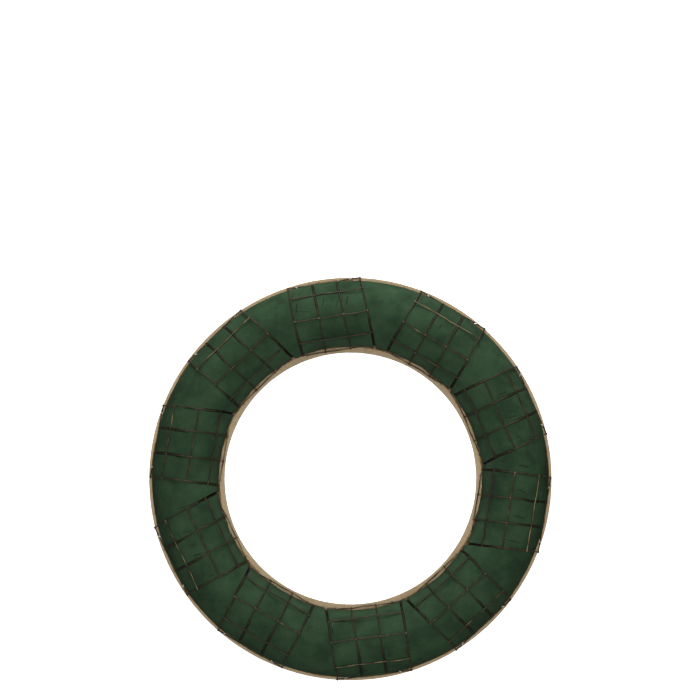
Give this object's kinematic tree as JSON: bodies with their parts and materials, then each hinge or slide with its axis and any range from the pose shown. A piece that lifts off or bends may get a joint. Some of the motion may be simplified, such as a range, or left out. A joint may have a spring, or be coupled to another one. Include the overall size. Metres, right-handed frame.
{
  "type": "wreath frame",
  "caption": "Ring-shaped wreath frame: domed green floral foam glued to a flat wood-fibre ring and held down by stapled straps of brown welded wire mesh.",
  "frame": {"origin": "centre of the hole, on the underside of the board", "axes": "+Z out of the crown of the foam, away from the surface that the frame rests on; +Y towards the top of the frame as it is usually hung or shown; +X to the right"},
  "size_m": [0.4, 0.4019, 0.0375],
  "materials": {
    "fibre_board": "matte",
    "glue": "satin",
    "floral_foam": "matte",
    "mesh_wire": "satin",
    "staple_steel": "polished"
  },
  "bodies": {
    "root": {"base_board": "fibre_board", "foam_glue": "glue", "foam_ring": "floral_foam", "mesh_strap_01": "mesh_wire", "mesh_strap_02": "mesh_wire", "mesh_strap_03": "mesh_wire", "mesh_strap_04": "mesh_wire", "mesh_strap_05": "mesh_wire", "mesh_strap_06": "mesh_wire", "mesh_strap_07": "mesh_wire", "mesh_strap_08": "mesh_wire", "mesh_strap_09": "mesh_wire", "mesh_strap_10": "mesh_wire", "strap_staples_01": "staple_steel", "strap_staples_02": "staple_steel", "strap_staples_03": "staple_steel", "strap_staples_04": "staple_steel", "strap_staples_05": "staple_steel", "strap_staples_06": "staple_steel", "strap_staples_07": "staple_steel", "strap_staples_08": "staple_steel", "strap_staples_09": "staple_steel", "strap_staples_10": "staple_steel"}
  },
  "joints": []
}
